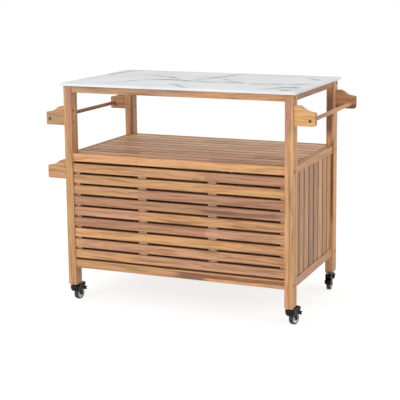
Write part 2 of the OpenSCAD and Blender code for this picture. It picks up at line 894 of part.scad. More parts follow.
// Flat shape round two circles, as the outer tangents join them
module link(a, ra, b, rb) {
    d = norm(b - a);
    lean = acos((ra - rb) / d);
    way = atan2(b[1] - a[1], b[0] - a[0]);
    translate(a)
        circle(ra);
    translate(b)
        circle(rb);
    polygon([
        a + ra * [cos(way + lean), sin(way + lean)],
        b + rb * [cos(way + lean), sin(way + lean)],
        b + rb * [cos(way - lean), sin(way - lean)],
        a + ra * [cos(way - lean), sin(way - lean)]]);
}

// Draws a flat X-Z shape and thickens it across the wheel, centred on the trail plane
module across(width) {
    rotate([90, 0, 0])
        linear_extrude(width, center = true)
            children();
}

// Side view of the hood over the wheel: level under the flange, then rising to a rounded rear end
module hood_outline() {
    front_u = 1;
    front_r = 8;
    level_end = flange_r + 3;
    level_r = 8.2;
    rise_start = flange_r + 4;
    rise_r = 8.4;
    top_gap = 0.3;
    link([front_u, head_z1 - front_r - top_gap], front_r, [level_end, head_z1 - level_r - top_gap], level_r);
    link([rise_start, head_z1 - rise_r - top_gap], rise_r, [hood_u, hood_z], hood_r);
}

// Side view of one cheek: the hood's flank, an arm down to the axle and an ear for the brake's pin
module cheek_outline() {
    arm_top = [trail - 10, head_z0 - 4];
    arm_top_r = 14;
    arm_end_r = axle_d / 2 + 5;
    ear_r = brake_pin_d / 2 + 4.5;
    ear_root = [trail + 2, brake_z - 1];
    ear_root_r = 9;
    hood_outline();
    link(arm_top, arm_top_r, [trail, wheel_r], arm_end_r);
    link([brake_u, brake_z], ear_r, ear_root, ear_root_r);
}

// Front of the fork: a round bowl under the swivel head, cut away behind the stem
module front_shield() {
    reveal = 0.6;
    back_u = 4;
    room = 2 * head_r;
    difference() {
        translate([0, 0, head_z0])
            sphere(r = head_r - reveal);
        translate([-head_r, -head_r, head_z0 + reveal])
            cube(room);
        translate([-head_r, -head_r, head_z0 - shield_drop - room])
            cube(room);
        translate([back_u, -head_r, head_z0 - reveal - room])
            cube(room);
    }
}

// Fork: swivel head, hood and cheeks in one moulding, with the axle and the brake pin in it
module fork(i) {
    lever_room = 5.5;
    rivet_room = shield_drop + cut_over;
    color(black)
        at_caster(i) {
            difference() {
                union() {
                    fork_head();
                    front_shield();
                    across(2 * cheek_out)
                        hood_outline();
                    for (s = [-1, 1])
                        translate([0, s * (cheek_in + cheek_t / 2), 0])
                            across(cheek_t)
                                cheek_outline();
                }
                translate([trail, -cheek_in, wheel_r])
                    rod_y(wheel_r + hood_gap, 2 * cheek_in);
                translate([brake_u - lever_room, -cheek_in, wheel_r])
                    cube([hood_u, 2 * cheek_in, brake_rise + lever_room]);
                translate([0, 0, head_z0 - rivet_room])
                    cylinder(r = stem_d / 2 + rivet_over + pass_gap, h = rivet_room);
                translate([0, 0, head_z0 - cut_over])
                    cylinder(r = stem_d / 2 + turn_gap, h = caster_h - head_z0 + cut_over);
                translate([trail, -cheek_out - cut_over, wheel_r])
                    rod_y(axle_d / 2 + turn_gap, 2 * (cheek_out + cut_over));
                translate([brake_u, -cheek_out - cut_over, brake_z])
                    rod_y(brake_pin_d / 2 + turn_gap, 2 * (cheek_out + cut_over));
            }
            headed_pin(trail, wheel_r, axle_d / 2);
            headed_pin(brake_u, brake_z, brake_pin_d / 2);
        }
}

module fork_head() {
    skirt_h = 5;
    shoulder = head_z1 - head_z0 - skirt_h;
    translate([0, 0, head_z0])
        rotate_extrude() {
            square([head_r, skirt_h]);
            square([head_r - shoulder, head_z1 - head_z0]);
            translate([head_r - shoulder, skirt_h])
                intersection() {
                    circle(shoulder);
                    square(shoulder);
                }
        }
}

module headed_pin(u, z, r) {
    half_len = cheek_out + turn_gap;
    head_t = 1.5;
    translate([u, -half_len, z])
        rod_y(r, 2 * half_len);
    for (s = [-1, 1])
        mirror_y(s)
            translate([u, half_len, z])
                rod_y(r + head_t, head_t);
}

// Wheel: hub with a boss and a rim, and a tread with rounded shoulders
module wheel(i) {
    at_caster(i)
        translate([trail, 0, wheel_r])
            rotate([90, 0, 0]) {
                wheel_hub();
                wheel_tread();
            }
}

module wheel_hub() {
    rim_r = wheel_r - tread_t;
    rim_t = 3;
    rim_inset = 1;
    web_half = 3.5;
    boss_t = 4;
    color("#d8dce0")
        rotate_extrude()
            difference() {
                union() {
                    translate([0, -hub_half])
                        square([axle_d / 2 + boss_t, 2 * hub_half]);
                    translate([0, -web_half])
                        square([rim_r, 2 * web_half]);
                    translate([rim_r - rim_t, rim_inset - wheel_w / 2])
                        square([rim_t, wheel_w - 2 * rim_inset]);
                }
                translate([0, -hub_half - cut_over])
                    square([axle_d / 2 + turn_gap, 2 * (hub_half + cut_over)]);
            }
}

module wheel_tread() {
    round_r = 4;
    color("#4a4c50")
        rotate_extrude()
            translate([wheel_r - tread_t, -wheel_w / 2])
                intersection() {
                    translate([turn_gap, 0])
                        square([tread_t, wheel_w]);
                    union() {
                        square([tread_t - round_r, wheel_w]);
                        translate([0, round_r])
                            square([tread_t, wheel_w - 2 * round_r]);
                        for (y = [round_r, wheel_w - round_r])
                            translate([tread_t - round_r, y])
                                circle(round_r);
                    }
                }
}

// Brake lever: hub on its pin, a shoe that comes down to the tread, and a forked pedal
module brake(i) {
    hub_r = 3;
    root_r = 1.8;
    fork_r = 2.2;
    shoe_root_r = 2.6;
    shoe_r = 1.1;
    tip_r = pedal_t / 2;
    shoe_end = [5, -4.6];
    fork_point = [13, -4];
    lower_tip = [pedal_reach - 5, -17];
    upper_tip = [pedal_reach, -7.5];
    side_gap = 0.7;
    lever_half = cheek_in - side_gap;
    color(black)
        at_caster(i)
            translate([brake_u, 0, brake_z])
                difference() {
                    union() {
                        across(2 * lever_half) {
                            link([0, 0], shoe_root_r, shoe_end, shoe_r);
                            link([0, 0], hub_r, fork_point, root_r);
                        }
                        across(pedal_w) {
                            link(fork_point, fork_r, upper_tip, tip_r);
                            link(fork_point, fork_r, lower_tip, tip_r);
                        }
                    }
                    translate([0, -lever_half - cut_over, 0])
                        rod_y(brake_pin_d / 2 + turn_gap, 2 * (lever_half + cut_over));
                }
}

post(-1, -1);  // post_front_left
post(1, -1);  // post_front_right
post(-1, 1);  // post_rear_left
post(1, 1);  // post_rear_right
long_rail(-1, rail_levels[0]);  // top_rail_front
long_rail(1, rail_levels[0]);  // top_rail_rear
plain_side_rail(-1, rail_levels[0]);  // top_rail_left
plain_side_rail(1, rail_levels[0]);  // top_rail_right
bearers([-inner_batten_x, inner_batten_x], leg_top_z, top_rail_h);  // top_bearers
tabletop();
long_rail(-1, rail_levels[1]);  // shelf_rail_front
long_rail(1, rail_levels[1]);  // shelf_rail_rear
side_rail(-1, rail_levels[1], -1);  // shelf_rail_left
side_rail(1, rail_levels[1], -1);  // shelf_rail_right
bearers(bearer_places, shelf_z - slat_t, bearer_h);  // shelf_bearers
deck(shelf_z);  // shelf_slats
long_rail(-1, rail_levels[2]);  // bottom_rail_front
long_rail(1, rail_levels[2]);  // bottom_rail_rear
side_rail(-1, rail_levels[2], 1);  // bottom_rail_left
side_rail(1, rail_levels[2], 1);  // bottom_rail_right
bearers(bearer_places, floor_z - slat_t, bearer_h);  // floor_bearers
deck(floor_z);  // floor_slats
front_slats();
front_battens();
side_slats(-1);  // side_slats_left
side_slats(1);  // side_slats_right
door_slats(-1);  // door_left_slats
door_battens(-1);  // door_left_battens
door_hardware(-1);  // door_left_hardware
door_knob(-1);  // door_left_knob
door_slats(1);  // door_right_slats
door_battens(1);  // door_right_battens
door_hardware(1);  // door_right_hardware
door_knob(1);  // door_right_knob
hinge_frame_leaves();
magnet_catch();
bar_bracket(1, -1, handle_z);  // handle_bracket_front
bar_bracket(1, 1, handle_z);  // handle_bracket_rear
round_bar(1, wood);  // handle_bar
bar_bracket(-1, -1, bottle_bar_z);  // bottle_bracket_front
bar_bracket(-1, 1, bottle_bar_z);  // bottle_bracket_rear
round_bar(-1, wood_dark);  // bottle_bar
rack_end(-1);  // rack_end_front
rack_end(1);  // rack_end_rear
rack_slats();
frame_bolts();
screws();
caster_stems();
fork(0);  // fork_front_left
fork(1);  // fork_front_right
fork(2);  // fork_rear_left
fork(3);  // fork_rear_right
wheel(0);  // wheel_front_left
wheel(1);  // wheel_front_right
wheel(2);  // wheel_rear_left
wheel(3);  // wheel_rear_right
brake(0);  // brake_front_left
brake(1);  // brake_front_right
brake(2);  // brake_rear_left
brake(3);  // brake_rear_right
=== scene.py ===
import functools
import json
import math
from collections import namedtuple

import bpy
from mathutils import Euler, Matrix, Vector


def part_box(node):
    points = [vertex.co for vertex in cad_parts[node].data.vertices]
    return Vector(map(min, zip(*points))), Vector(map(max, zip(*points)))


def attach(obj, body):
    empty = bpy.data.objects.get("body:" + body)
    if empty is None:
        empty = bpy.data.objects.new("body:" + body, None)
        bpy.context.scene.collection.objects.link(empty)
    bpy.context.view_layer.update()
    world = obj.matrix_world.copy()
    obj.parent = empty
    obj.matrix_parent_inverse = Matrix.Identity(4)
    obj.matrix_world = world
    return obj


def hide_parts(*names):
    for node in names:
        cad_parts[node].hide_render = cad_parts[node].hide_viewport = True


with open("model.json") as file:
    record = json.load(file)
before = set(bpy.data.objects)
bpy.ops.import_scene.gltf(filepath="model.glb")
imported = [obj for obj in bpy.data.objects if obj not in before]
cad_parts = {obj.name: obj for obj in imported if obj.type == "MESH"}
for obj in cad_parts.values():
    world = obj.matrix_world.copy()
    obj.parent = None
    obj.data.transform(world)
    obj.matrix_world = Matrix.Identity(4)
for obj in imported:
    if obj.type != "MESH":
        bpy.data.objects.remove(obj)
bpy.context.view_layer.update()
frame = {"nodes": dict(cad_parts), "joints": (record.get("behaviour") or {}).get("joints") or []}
nodes = frame["nodes"]
joints = {joint["name"]: joint for joint in frame["joints"]}

MM = 0.001
CORNERS = ("front_left", "front_right", "rear_left", "rear_right")


# Nodes, colours and materials

COORDS, MAPPING, NOISE = "ShaderNodeTexCoord", "ShaderNodeMapping", "ShaderNodeTexNoise"
SPLIT, COMBINE = "ShaderNodeSeparateXYZ", "ShaderNodeCombineXYZ"
MATH, VECTOR_MATH = "ShaderNodeMath", "ShaderNodeVectorMath"
RANGE, RAMP, MIX, BUMP = "ShaderNodeMapRange", "ShaderNodeValToRGB", "ShaderNodeMix", "ShaderNodeBump"
PRINCIPLED, OUTPUT = "ShaderNodeBsdfPrincipled", "ShaderNodeOutputMaterial"
# Settings of a mix that blends two colours or multiplies them, and of a range with soft ends
BLEND = {"data_type": "RGBA"}
MULTIPLY = {"data_type": "RGBA", "blend_type": "MULTIPLY"}
SOFT = {"interpolation_type": "SMOOTHSTEP"}
# Object coordinates are metres: this scale turns them to the millimetres that all the patterns use
TO_MM = (1000, 1000, 1000)
# The middle of a noise's colour, taken off to let it swing both ways
MID = (0.5, 0.5, 0.5)


def linear(text, gain=1.0):
    """sRGB hex colour as linear RGBA, times gain."""
    out = []
    for i in (1, 3, 5):
        c = int(text[i:i + 2], 16) / 255
        out.append(gain * (c / 12.92 if c <= 0.04045 else ((c + 0.055) / 1.055) ** 2.4))
    return (*out, 1.0)


def add_node(tree, kind, inputs=None, stops=(), steps=(), **settings):
    """One node with its settings and its links.

    An input is a value, an output to link, or a node, whose first output in use is linked. A colour
    ramp takes stops, as (place, colour), or steps, one colour for each equal share of its length."""
    made = tree.nodes.new(kind)
    for key, value in settings.items():
        setattr(made, key, value)
    for key, value in (inputs or {}).items():
        if isinstance(value, bpy.types.Node):
            value = next(output for output in value.outputs if output.enabled)
        if isinstance(value, bpy.types.NodeSocket):
            tree.links.new(value, made.inputs[key])
        else:
            made.inputs[key].default_value = value
    if steps:
        made.color_ramp.interpolation = "CONSTANT"
        stops = [(i / len(steps), colour) for i, colour in enumerate(steps)]
    for i, (place, colour) in enumerate(stops):
        elements = made.color_ramp.elements
        stop = elements[i] if i < 2 else elements.new(place)
        stop.position, stop.color = place, colour
    return made


def new_material(name):
    """An empty material, and add_node for its tree."""
    material = bpy.data.materials.new(name)
    material.use_nodes = True
    material.node_tree.nodes.clear()
    return material, functools.partial(add_node, material.node_tree)


def wear(obj, material):
    """Gives an object this material alone."""
    if not obj.material_slots:
        obj.data.materials.append(material)
    for slot in obj.material_slots:
        slot.material = material


def mm_box(node):
    """Lowest and highest corners of a CAD node in mm."""
    return tuple(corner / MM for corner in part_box(node))


# Oiled acacia

# The axis of the grain and the two axes across it
AXES = {"X": ("X", "Y", "Z"), "Y": ("Y", "X", "Z"), "Z": ("Z", "X", "Y")}
# Lifts the written tones by what the grain's darker lines take away again
TONE_GAIN = 1.2
# Each board is cut this much further along its log, and each node's boards from another place, in mm
BOARD_STEP, LOG_STEP = 733.0, (197.0, 31.0, 17.0)
# The grain's waves along it and across it in mm, and how strongly they push it sideways: up to some 6 mm
WAVES, SWING = (230.0, 60.0, 60.0), (0.0, 22.0, 22.0)
# The rings' pitch in mm, how far off the pith lies, and how little the rings change along the grain
RING_PITCH, PITH_OFF, PITH_SCALE = 6.0, (0.0, 37.0, 71.0), (0.012, 1.0, 1.0)
# Patterns stretched along the grain: (mm along it, mm across it, detail)
PATTERNS = {"figure": (330.0, 9.0, 3.0), "lines": (150.0, 4.0, 2.0), "pores": (34.0, 1.5, 1.0),
            "flames": (260.0, 15.0, 2.0), "bands": (420.0, 26.0, 1.0)}
# A joint's fingers in mm: their length and their pitch
FINGER_LONG, FINGER_PITCH = 10.0, 8.0
# The ramp with the joints' places holds -500 to 500 mm as 0 to 1
CUT_REACH = 500.0
# A streak of heart or sapwood, and a patch of painted shade alike, fades over this much to each side of its
# end in mm
STREAK_FADE = 30.0

# A row of boards in mm: the axis that it runs along, its start half a gap before the first board, the
# pitch, the gap, how wide the painted shade along each edge is, and the number of boards
Row = namedtuple("Row", "axis start pitch gap edge count")


def place_in_log(node, place, number, seed):
    """Where a point of a board lay in its log in mm, with the grain wandering off straight."""
    along, across, over = place
    along = node(MATH, {0: number, 1: BOARD_STEP, 2: along}, operation="MULTIPLY_ADD")
    cut = node(COMBINE, {0: along, 1: across, 2: over})
    cut = node(VECTOR_MATH, {0: cut, 1: [seed * step for step in LOG_STEP]}, operation="ADD")
    slow = node(VECTOR_MATH, {0: cut, 1: WAVES}, operation="DIVIDE")
    wave = node(NOISE, {"Vector": slow, "Scale": 1.0, "Detail": 1.0})
    wave = node(VECTOR_MATH, {0: wave.outputs["Color"], 1: MID}, operation="SUBTRACT")
    return node(VECTOR_MATH, {0: wave, 1: SWING, 2: cut}, operation="MULTIPLY_ADD")


def growth_rings(node, wood):
    """Growth rings round a pith outside the board: arched figure on its faces and arcs on its ends."""
    pith = node(VECTOR_MATH, {0: wood, 1: PITH_SCALE, 2: PITH_OFF}, operation="MULTIPLY_ADD")
    ring = node(VECTOR_MATH, {0: pith}, operation="LENGTH")
    ring = node(MATH, {0: ring, 1: RING_PITCH}, operation="DIVIDE")
    ring = node(MATH, {0: ring}, operation="FRACT")
    return node(RANGE, {"Value": ring, "From Min": 0.55, "From Max": 1.0}, **SOFT)


def finger_joints(node, tone, share, place, cuts, seconds):
    """Each board's second tone past its finger joint, and the dark glue line of the fingers."""
    along, across, over = place
    levels = [(cut + CUT_REACH) / (2 * CUT_REACH) for cut in cuts]
    cut = node(RAMP, {"Fac": share}, steps=[(level, level, level, 1.0) for level in levels])
    past = node(MATH, {0: along, 1: CUT_REACH}, operation="ADD")
    past = node(MATH, {0: cut, 1: -2 * CUT_REACH, 2: past}, operation="MULTIPLY_ADD")
    half_pitch = FINGER_PITCH / 2
    finger = node(MATH, {0: across, 1: over}, operation="ADD")
    finger = node(MATH, {0: finger, 1: half_pitch}, operation="PINGPONG")
    past = node(MATH, {0: finger, 1: -FINGER_LONG / half_pitch, 2: past}, operation="MULTIPLY_ADD")
    second = node(RANGE, {"Value": past, "From Min": -0.5, "From Max": 0.5})
    other = node(RAMP, {"Fac": share}, steps=[linear(colour, TONE_GAIN) for colour in seconds])
    tone = node(MIX, {0: second, 6: tone, 7: other}, **BLEND)
    glue = node(MATH, {0: past}, operation="ABSOLUTE")
    glue = node(RANGE, {"Value": glue, "From Min": 0.3, "From Max": 1.3, "To Min": 0.35, "To Max": 0.0})
    return node(MIX, {0: glue, 6: tone, 7: linear("#8A6A50")}, **MULTIPLY)


def streaks_and_painted_shade(node, tone, place, figure, streaks_and_shade):
    """Streaks of heart or sapwood along the grain, and a few patches of painted shade, with rims that follow
    the figure.
    """
    along, across, over = place
    for (begin, end), (across_mm, over_mm), radius, colour in streaks_and_shade:
        aside = node(MATH, {0: across, 1: across_mm}, operation="SUBTRACT")
        above = node(MATH, {0: over, 1: over_mm}, operation="SUBTRACT")
        far = node(VECTOR_MATH, {0: node(COMBINE, {1: aside, 2: above})}, operation="LENGTH")
        ragged = node(MATH, {0: figure, 1: 0.5}, operation="SUBTRACT")
        far = node(MATH, {0: ragged, 1: 1.1 * radius, 2: far}, operation="MULTIPLY_ADD")
        mask = node(RANGE, {"Value": far, "From Min": 0.6 * radius, "From Max": 1.15 * radius,
                            "To Min": 1.0, "To Max": 0.0}, **SOFT)
        for tip, fade in ((begin, STREAK_FADE), (end, -STREAK_FADE)):
            inside = node(RANGE, {"Value": along, "From Min": tip - fade, "From Max": tip + fade}, **SOFT)
            mask = node(MATH, {0: mask, 1: inside}, operation="MULTIPLY")
        tone = node(MIX, {0: mask, 6: tone, 7: linear(colour, TONE_GAIN)}, **BLEND)
    return tone


def painted_edge_shade(node, tone, coordinate, boards):
    """Each board darker along its edges by the gaps between boards: painted shade."""
    within = node(MATH, {0: coordinate, 1: boards.start}, operation="SUBTRACT")
    within = node(MATH, {0: within, 1: boards.pitch}, operation="FLOORED_MODULO")
    within = node(MATH, {0: within, 1: boards.pitch / 2}, operation="SUBTRACT")
    within = node(MATH, {0: within}, operation="ABSOLUTE")
    half = (boards.pitch - boards.gap) / 2
    rim = node(RANGE, {"Value": within, "From Min": half - boards.edge, "From Max": half, "To Max": 0.75})
    # The painted shade is a darker brown multiplied into the tone
    return node(MIX, {0: rim, 6: tone, 7: linear("#A98B76")}, **MULTIPLY)


def acacia(name, grain, tones, boards=None, cuts=(), seconds=(), streaks_and_shade=(), lively=0.5, seed=0):
    """Sawn, planed and oiled acacia, with its grain along an axis.

    It shows golden and pinkish brown bands, darker lines, growth rings about 6 mm apart and fine pores.
    The pores are 0.2 mm wide and are drawn 1.5 mm wide, or none would show in a render. boards is the
    row of boards, if there are several, with painted shade along each edge, and tones has one colour for
    each. cuts are the places of their finger joints along the grain in mm, and seconds the tones past them.
    The streaks are in mm: (start, end) along the grain, the two places across it, the radius and the
    colour; most are heart or sapwood, and a few are painted shade. lively is the strength of the figure."""
    material, node = new_material(name)
    where = node(COORDS)
    mm = node(MAPPING, {"Vector": where.outputs["Object"], "Scale": TO_MM})
    split = node(SPLIT, {0: mm})
    place = [split.outputs[axis] for axis in AXES[grain]]

    # Which board a point is on, and its share of the row
    number = 0.0
    tone = linear(tones[0], TONE_GAIN)
    if boards:
        number = node(MATH, {0: split.outputs[boards.axis], 1: boards.start}, operation="SUBTRACT")
        number = node(MATH, {0: number, 1: boards.pitch}, operation="DIVIDE")
        number = node(MATH, {0: number}, operation="FLOOR")
        share = node(MATH, {0: number, 1: 0.5}, operation="ADD")
        share = node(MATH, {0: share, 1: len(tones)}, operation="DIVIDE")
        tone = node(RAMP, {"Fac": share}, steps=[linear(colour, TONE_GAIN) for colour in tones])

    wood = place_in_log(node, place, number, seed)
    pattern = {}
    for key, (along_mm, across_mm, detail) in PATTERNS.items():
        stretched = node(VECTOR_MATH, {0: wood, 1: (along_mm, across_mm, across_mm)}, operation="DIVIDE")
        pattern[key] = node(NOISE, {"Vector": stretched, "Scale": 1.0, "Detail": detail, "Roughness": 0.55})
    pores = node(RANGE, {"Value": pattern["pores"], "From Min": 0.55, "From Max": 0.75})

    if seconds:
        tone = finger_joints(node, tone, share, place, cuts, seconds)
    tone = streaks_and_painted_shade(node, tone, place, pattern["figure"], streaks_and_shade)
    # Painted shade along each board's edges, by the gaps between the boards
    if boards:
        tone = painted_edge_shade(node, tone, split.outputs[boards.axis], boards)

    # Bands of gold and of pink, and reddish flames
    tint = node(RAMP, {"Fac": pattern["bands"]}, stops=[(0.36, linear("#FFF6F0")),
                                                        (0.64, linear("#FFFAE0"))])
    tone = node(MIX, {0: 1.0, 6: tone, 7: tint}, **MULTIPLY)
    flame = node(RANGE, {"Value": pattern["flames"], "From Min": 0.52, "From Max": 0.72,
                         "To Max": 0.9 * lively}, **SOFT)
    tone = node(MIX, {0: flame, 6: tone, 7: linear("#C9A48C")}, **MULTIPLY)

    # The darker figure: what swings both ways, and then what only darkens
    shade = 0.5
    for key, depth in (("figure", 1.8 * lively + 0.6), ("lines", 1.3)):
        swing = node(MATH, {0: pattern[key], 1: 0.5}, operation="SUBTRACT")
        shade = node(MATH, {0: swing, 1: depth, 2: shade}, operation="MULTIPLY_ADD")
    for mask, depth in ((growth_rings(node, wood), 0.1 + 0.1 * lively), (pores, 0.22)):
        shade = node(MATH, {0: mask, 1: -depth, 2: shade}, operation="MULTIPLY_ADD")
    shade = node(RAMP, {"Fac": shade}, stops=[(0.0, (0.44, 0.37, 0.32, 1)), (0.5, (0.84, 0.82, 0.80, 1)),
                                              (1.0, (1, 1, 1, 1))])
    tone = node(MIX, {0: 1.0, 6: tone, 7: shade}, **MULTIPLY)

    # Sawn end grain drinks more oil, so it is darker and duller
    normal = node(SPLIT, {0: where.outputs["Normal"]})
    end_grain = node(MATH, {0: normal.outputs[grain]}, operation="ABSOLUTE")
    end_grain = node(RANGE, {"Value": end_grain, "From Min": 0.6, "From Max": 0.9})
    oil = node(MATH, {0: end_grain, 1: 0.8}, operation="MULTIPLY")
    colour = node(MIX, {0: oil, 6: tone, 7: linear("#C7A78E")}, **MULTIPLY)
    rough = node(RANGE, {"Value": pattern["lines"], "From Min": 0.2, "From Max": 0.8, "To Min": 0.44,
                         "To Max": 0.6})
    rough = node(MATH, {0: end_grain, 1: 0.2, 2: rough}, operation="MULTIPLY_ADD")
    if boards:
        # The boards' edges are left as sawn, duller than their planed faces
        sawn = node(MATH, {0: normal.outputs[boards.axis]}, operation="ABSOLUTE")
        sawn = node(RANGE, {"Value": sawn, "From Min": 0.6, "From Max": 0.9})
        rough = node(MATH, {0: sawn, 1: 0.35, 2: rough}, operation="MULTIPLY_ADD")
    height = node(MATH, {0: pores, 1: -0.5, 2: pattern["lines"]}, operation="MULTIPLY_ADD")
    bump = node(BUMP, {"Strength": 0.35, "Distance": 0.0003, "Height": height})
    node(OUTPUT, {"Surface": node(PRINCIPLED, {"Base Color": colour, "Roughness": rough, "Normal": bump})})
    return material


# The tones of oiled acacia, from pale sapwood to heartwood; the deck's pale ones also hold painted sheen
SAND, BLUSH, HONEY, GOLD, TAN, PINK = "#F2D0AE", "#E6BEA2", "#CEA074", "#D8A87C", "#C49972", "#C79B7E"
STRAW, ROSE, BROWN, GREY, UMBER, HEART = "#DFB27C", "#B4886E", "#B0866A", "#B39173", "#94654A", "#876050"


def row(node, axis, count, gap, edge):
    """The row of boards that a node holds."""
    low, high = (getattr(corner, axis.lower()) for corner in mm_box(node))
    return Row(axis, low - gap / 2, (high - low + gap) / count, gap, edge, count)


front_row = row("front_slats", "Z", count=9, gap=8.5, edge=2.5)
door_row = row("door_left_slats", "Z", count=9, gap=3.0, edge=2.5)
deck_row = row("shelf_slats", "Y", count=9, gap=7.0, edge=6.0)
side_row = row("side_slats_right", "Y", count=8, gap=6.5, edge=5.0)
# Faces of the posts in mm: X outside and inside, Y at the front of the front posts and of the rear ones
post_low, post_high = mm_box("post_front_right")
out_x, in_x, front_y = post_high.x, post_low.x, post_low.y
rear_in_y = mm_box("post_rear_right")[0].y
# The front faces of the slats and of the bottom rail, and heights on that rail
slat_y = mm_box("front_slats")[0].y
rail_low, rail_high = mm_box("bottom_rail_front")
rail_y, rail_z, rail_mid = rail_low.y, rail_low.z, (rail_low.z + rail_high.z) / 2


def slat_z(number, share):
    """Height in mm of a place on a front slat, from 0 at its lower edge to 1 at its upper edge."""
    slat = front_row.pitch - front_row.gap
    return front_row.start + front_row.pitch * number + front_row.gap / 2 + share * slat


# Several boards in one node, with the tones from the lowest or foremost board
BOARDS = {
    "front_slats": dict(
        grain="X", boards=front_row, lively=0.6,
        tones=[HONEY, PINK, GOLD, ROSE, PINK, BROWN, TAN, TAN, TAN],
        cuts=[-190, 260, -330, 118, -165, 118, -165, 135, 118],
        seconds=[PINK, TAN, HONEY, PINK, HONEY, ROSE, ROSE, HONEY, ROSE],
        streaks_and_shade=[((-390, -270), (slat_y, slat_z(0, 0.75)), 9, GREY),
                ((-170, 40), (slat_y, slat_z(0, 0.5)), 7, ROSE),
                ((180, 420), (slat_y, slat_z(0, 0.55)), 8, BROWN),
                ((110, 430), (slat_y, slat_z(5, 0.4)), 8, HEART),
                ((110, 300), (slat_y, slat_z(8, 0.8)), 8, BROWN),
                ((220, 440), (slat_y, slat_z(2, 0.15)), 6, PINK)]),
    # The deck's pale tones are its own colour with a painted sheen of the bright surround added on top
    "shelf_slats": dict(
        grain="X", boards=deck_row, lively=0.6,
        tones=[BLUSH, PINK, BLUSH, SAND, BLUSH, SAND, BLUSH, SAND, SAND],
        cuts=[120, -210, 260, 40, -90, 330, -150, 180, 60],
        seconds=[PINK, BLUSH, PINK, BLUSH, SAND, BLUSH, SAND, BLUSH, SAND]),
    "floor_slats": dict(
        grain="X", boards=deck_row, lively=0.5,
        tones=[TAN, PINK, BROWN, TAN, ROSE, TAN, HONEY, PINK, TAN]),
    "side_slats_right": dict(
        grain="Z", boards=side_row, lively=0.5,
        tones=[BROWN, TAN, PINK, BROWN, GREY, GOLD, TAN, HONEY]),
    "side_slats_left": dict(
        grain="Z", boards=side_row, lively=0.5,
        tones=[TAN, BROWN, HONEY, PINK, GOLD, ROSE, TAN, BROWN]),
    "door_left_slats": dict(
        grain="X", boards=door_row, lively=0.6,
        tones=[TAN, HONEY, ROSE, TAN, PINK, GOLD, BROWN, TAN, HONEY]),
    "door_right_slats": dict(
        grain="X", boards=door_row, lively=0.6,
        tones=[HONEY, BROWN, GOLD, TAN, PINK, ROSE, HONEY, TAN, PINK]),
}

# One board, or boards of one tone, in a node: (grain, tone, liveliness)
TIMBER = {
    "post_front_left": ("Z", TAN, 0.4),
    "post_front_right": ("Z", GOLD, 0.4),
    "post_rear_left": ("Z", HONEY, 0.35),
    "post_rear_right": ("Z", GOLD, 0.45),
    "top_rail_front": ("X", HONEY, 0.6),
    "top_rail_rear": ("X", TAN, 0.55),
    "top_rail_left": ("Y", TAN, 0.5),
    "top_rail_right": ("Y", BROWN, 0.5),
    "shelf_rail_front": ("X", GOLD, 0.3),
    "shelf_rail_rear": ("X", HONEY, 0.5),
    "shelf_rail_left": ("Y", TAN, 0.5),
    "shelf_rail_right": ("Y", HONEY, 0.4),
    "bottom_rail_front": ("X", TAN, 0.6),
    "bottom_rail_rear": ("X", TAN, 0.55),
    "bottom_rail_left": ("Y", BROWN, 0.5),
    "bottom_rail_right": ("Y", PINK, 0.45),
    "top_bearers": ("Y", BROWN, 0.5),
    "shelf_bearers": ("Y", BROWN, 0.5),
    "floor_bearers": ("Y", BROWN, 0.5),
    "front_battens": ("Z", SAND, 0.4),
    "door_left_battens": ("Z", BROWN, 0.5),
    "door_right_battens": ("Z", BROWN, 0.5),
    "door_left_knob": ("Y", UMBER, 0.5),
    "door_right_knob": ("Y", UMBER, 0.5),
    "handle_bracket_front": ("X", STRAW, 0.4),
    "handle_bracket_rear": ("X", TAN, 0.5),
    "handle_bar": ("Y", HONEY, 0.5),
    "bottle_bracket_front": ("X", GREY, 0.4),
    "bottle_bracket_rear": ("X", BROWN, 0.5),
    "bottle_bar": ("Y", BROWN, 0.4),
    "rack_end_front": ("X", TAN, 0.35),
    "rack_end_rear": ("X", TAN, 0.45),
    "rack_slats": ("Y", BROWN, 0.5),
}

# Their streaks of heart or sapwood, and on the front right post two patches of painted shade:
# (start, end) along the grain, (two places across it), radius, colour
STREAKS_AND_SHADE = {
    "post_front_left": [((560, 940), (-in_x - 12, front_y), 10, ROSE),
                        ((40, 940), (-in_x, front_y + 28), 19, GOLD)],
    # Painted shade: the first two darken the top of this post's front
    "post_front_right": [((620, 940), (in_x, front_y), 24, TAN),
                         ((740, 960), (in_x + 12, front_y), 22, ROSE),
                         ((40, 600), (out_x - 14, front_y), 6, TAN),
                         ((40, 940), (out_x, front_y + 26), 15, TAN)],
    "post_rear_left": [((40, 940), (-in_x, rear_in_y), 9, UMBER)],
    "post_rear_right": [((660, 830), (out_x - 20, rear_in_y), 12, HEART),
                        ((300, 640), (out_x - 8, rear_in_y), 7, UMBER)],
    "top_rail_front": [((-460, 40), (front_y, 870), 26, GREY)],
    "bottom_rail_front": [((0, 130), (rail_y, rail_mid), 15, HEART),
                          ((130, 470), (rail_y, rail_z + 4), 12, GOLD),
                          ((90, 470), (rail_y, rail_mid + 4), 8, UMBER)],
    "handle_bracket_rear": [((460, 600), (rear_in_y + 20, 773), 22, UMBER)],
    "bottle_bracket_front": [((-600, -460), (front_y + 20, 805), 28, HONEY)],
}

# Each node has a seed of its own: first the boards, then the timber, then the doors' dark tongues of painted
# shade
TIMBER_SEED = len(BOARDS) + 2
SHADE_TONGUE_SEED = TIMBER_SEED + len(TIMBER)
for seed, (name, finish) in enumerate(BOARDS.items()):
    wear(nodes[name], acacia("oiled_acacia_" + name, seed=seed, **finish))
for seed, (name, (grain, tone, lively)) in enumerate(TIMBER.items(), TIMBER_SEED):
    finish = acacia("oiled_acacia_" + name, grain, [tone], streaks_and_shade=STREAKS_AND_SHADE.get(name, ()), lively=lively,
                    seed=seed)
    wear(nodes[name], finish)


# Stone-look slab

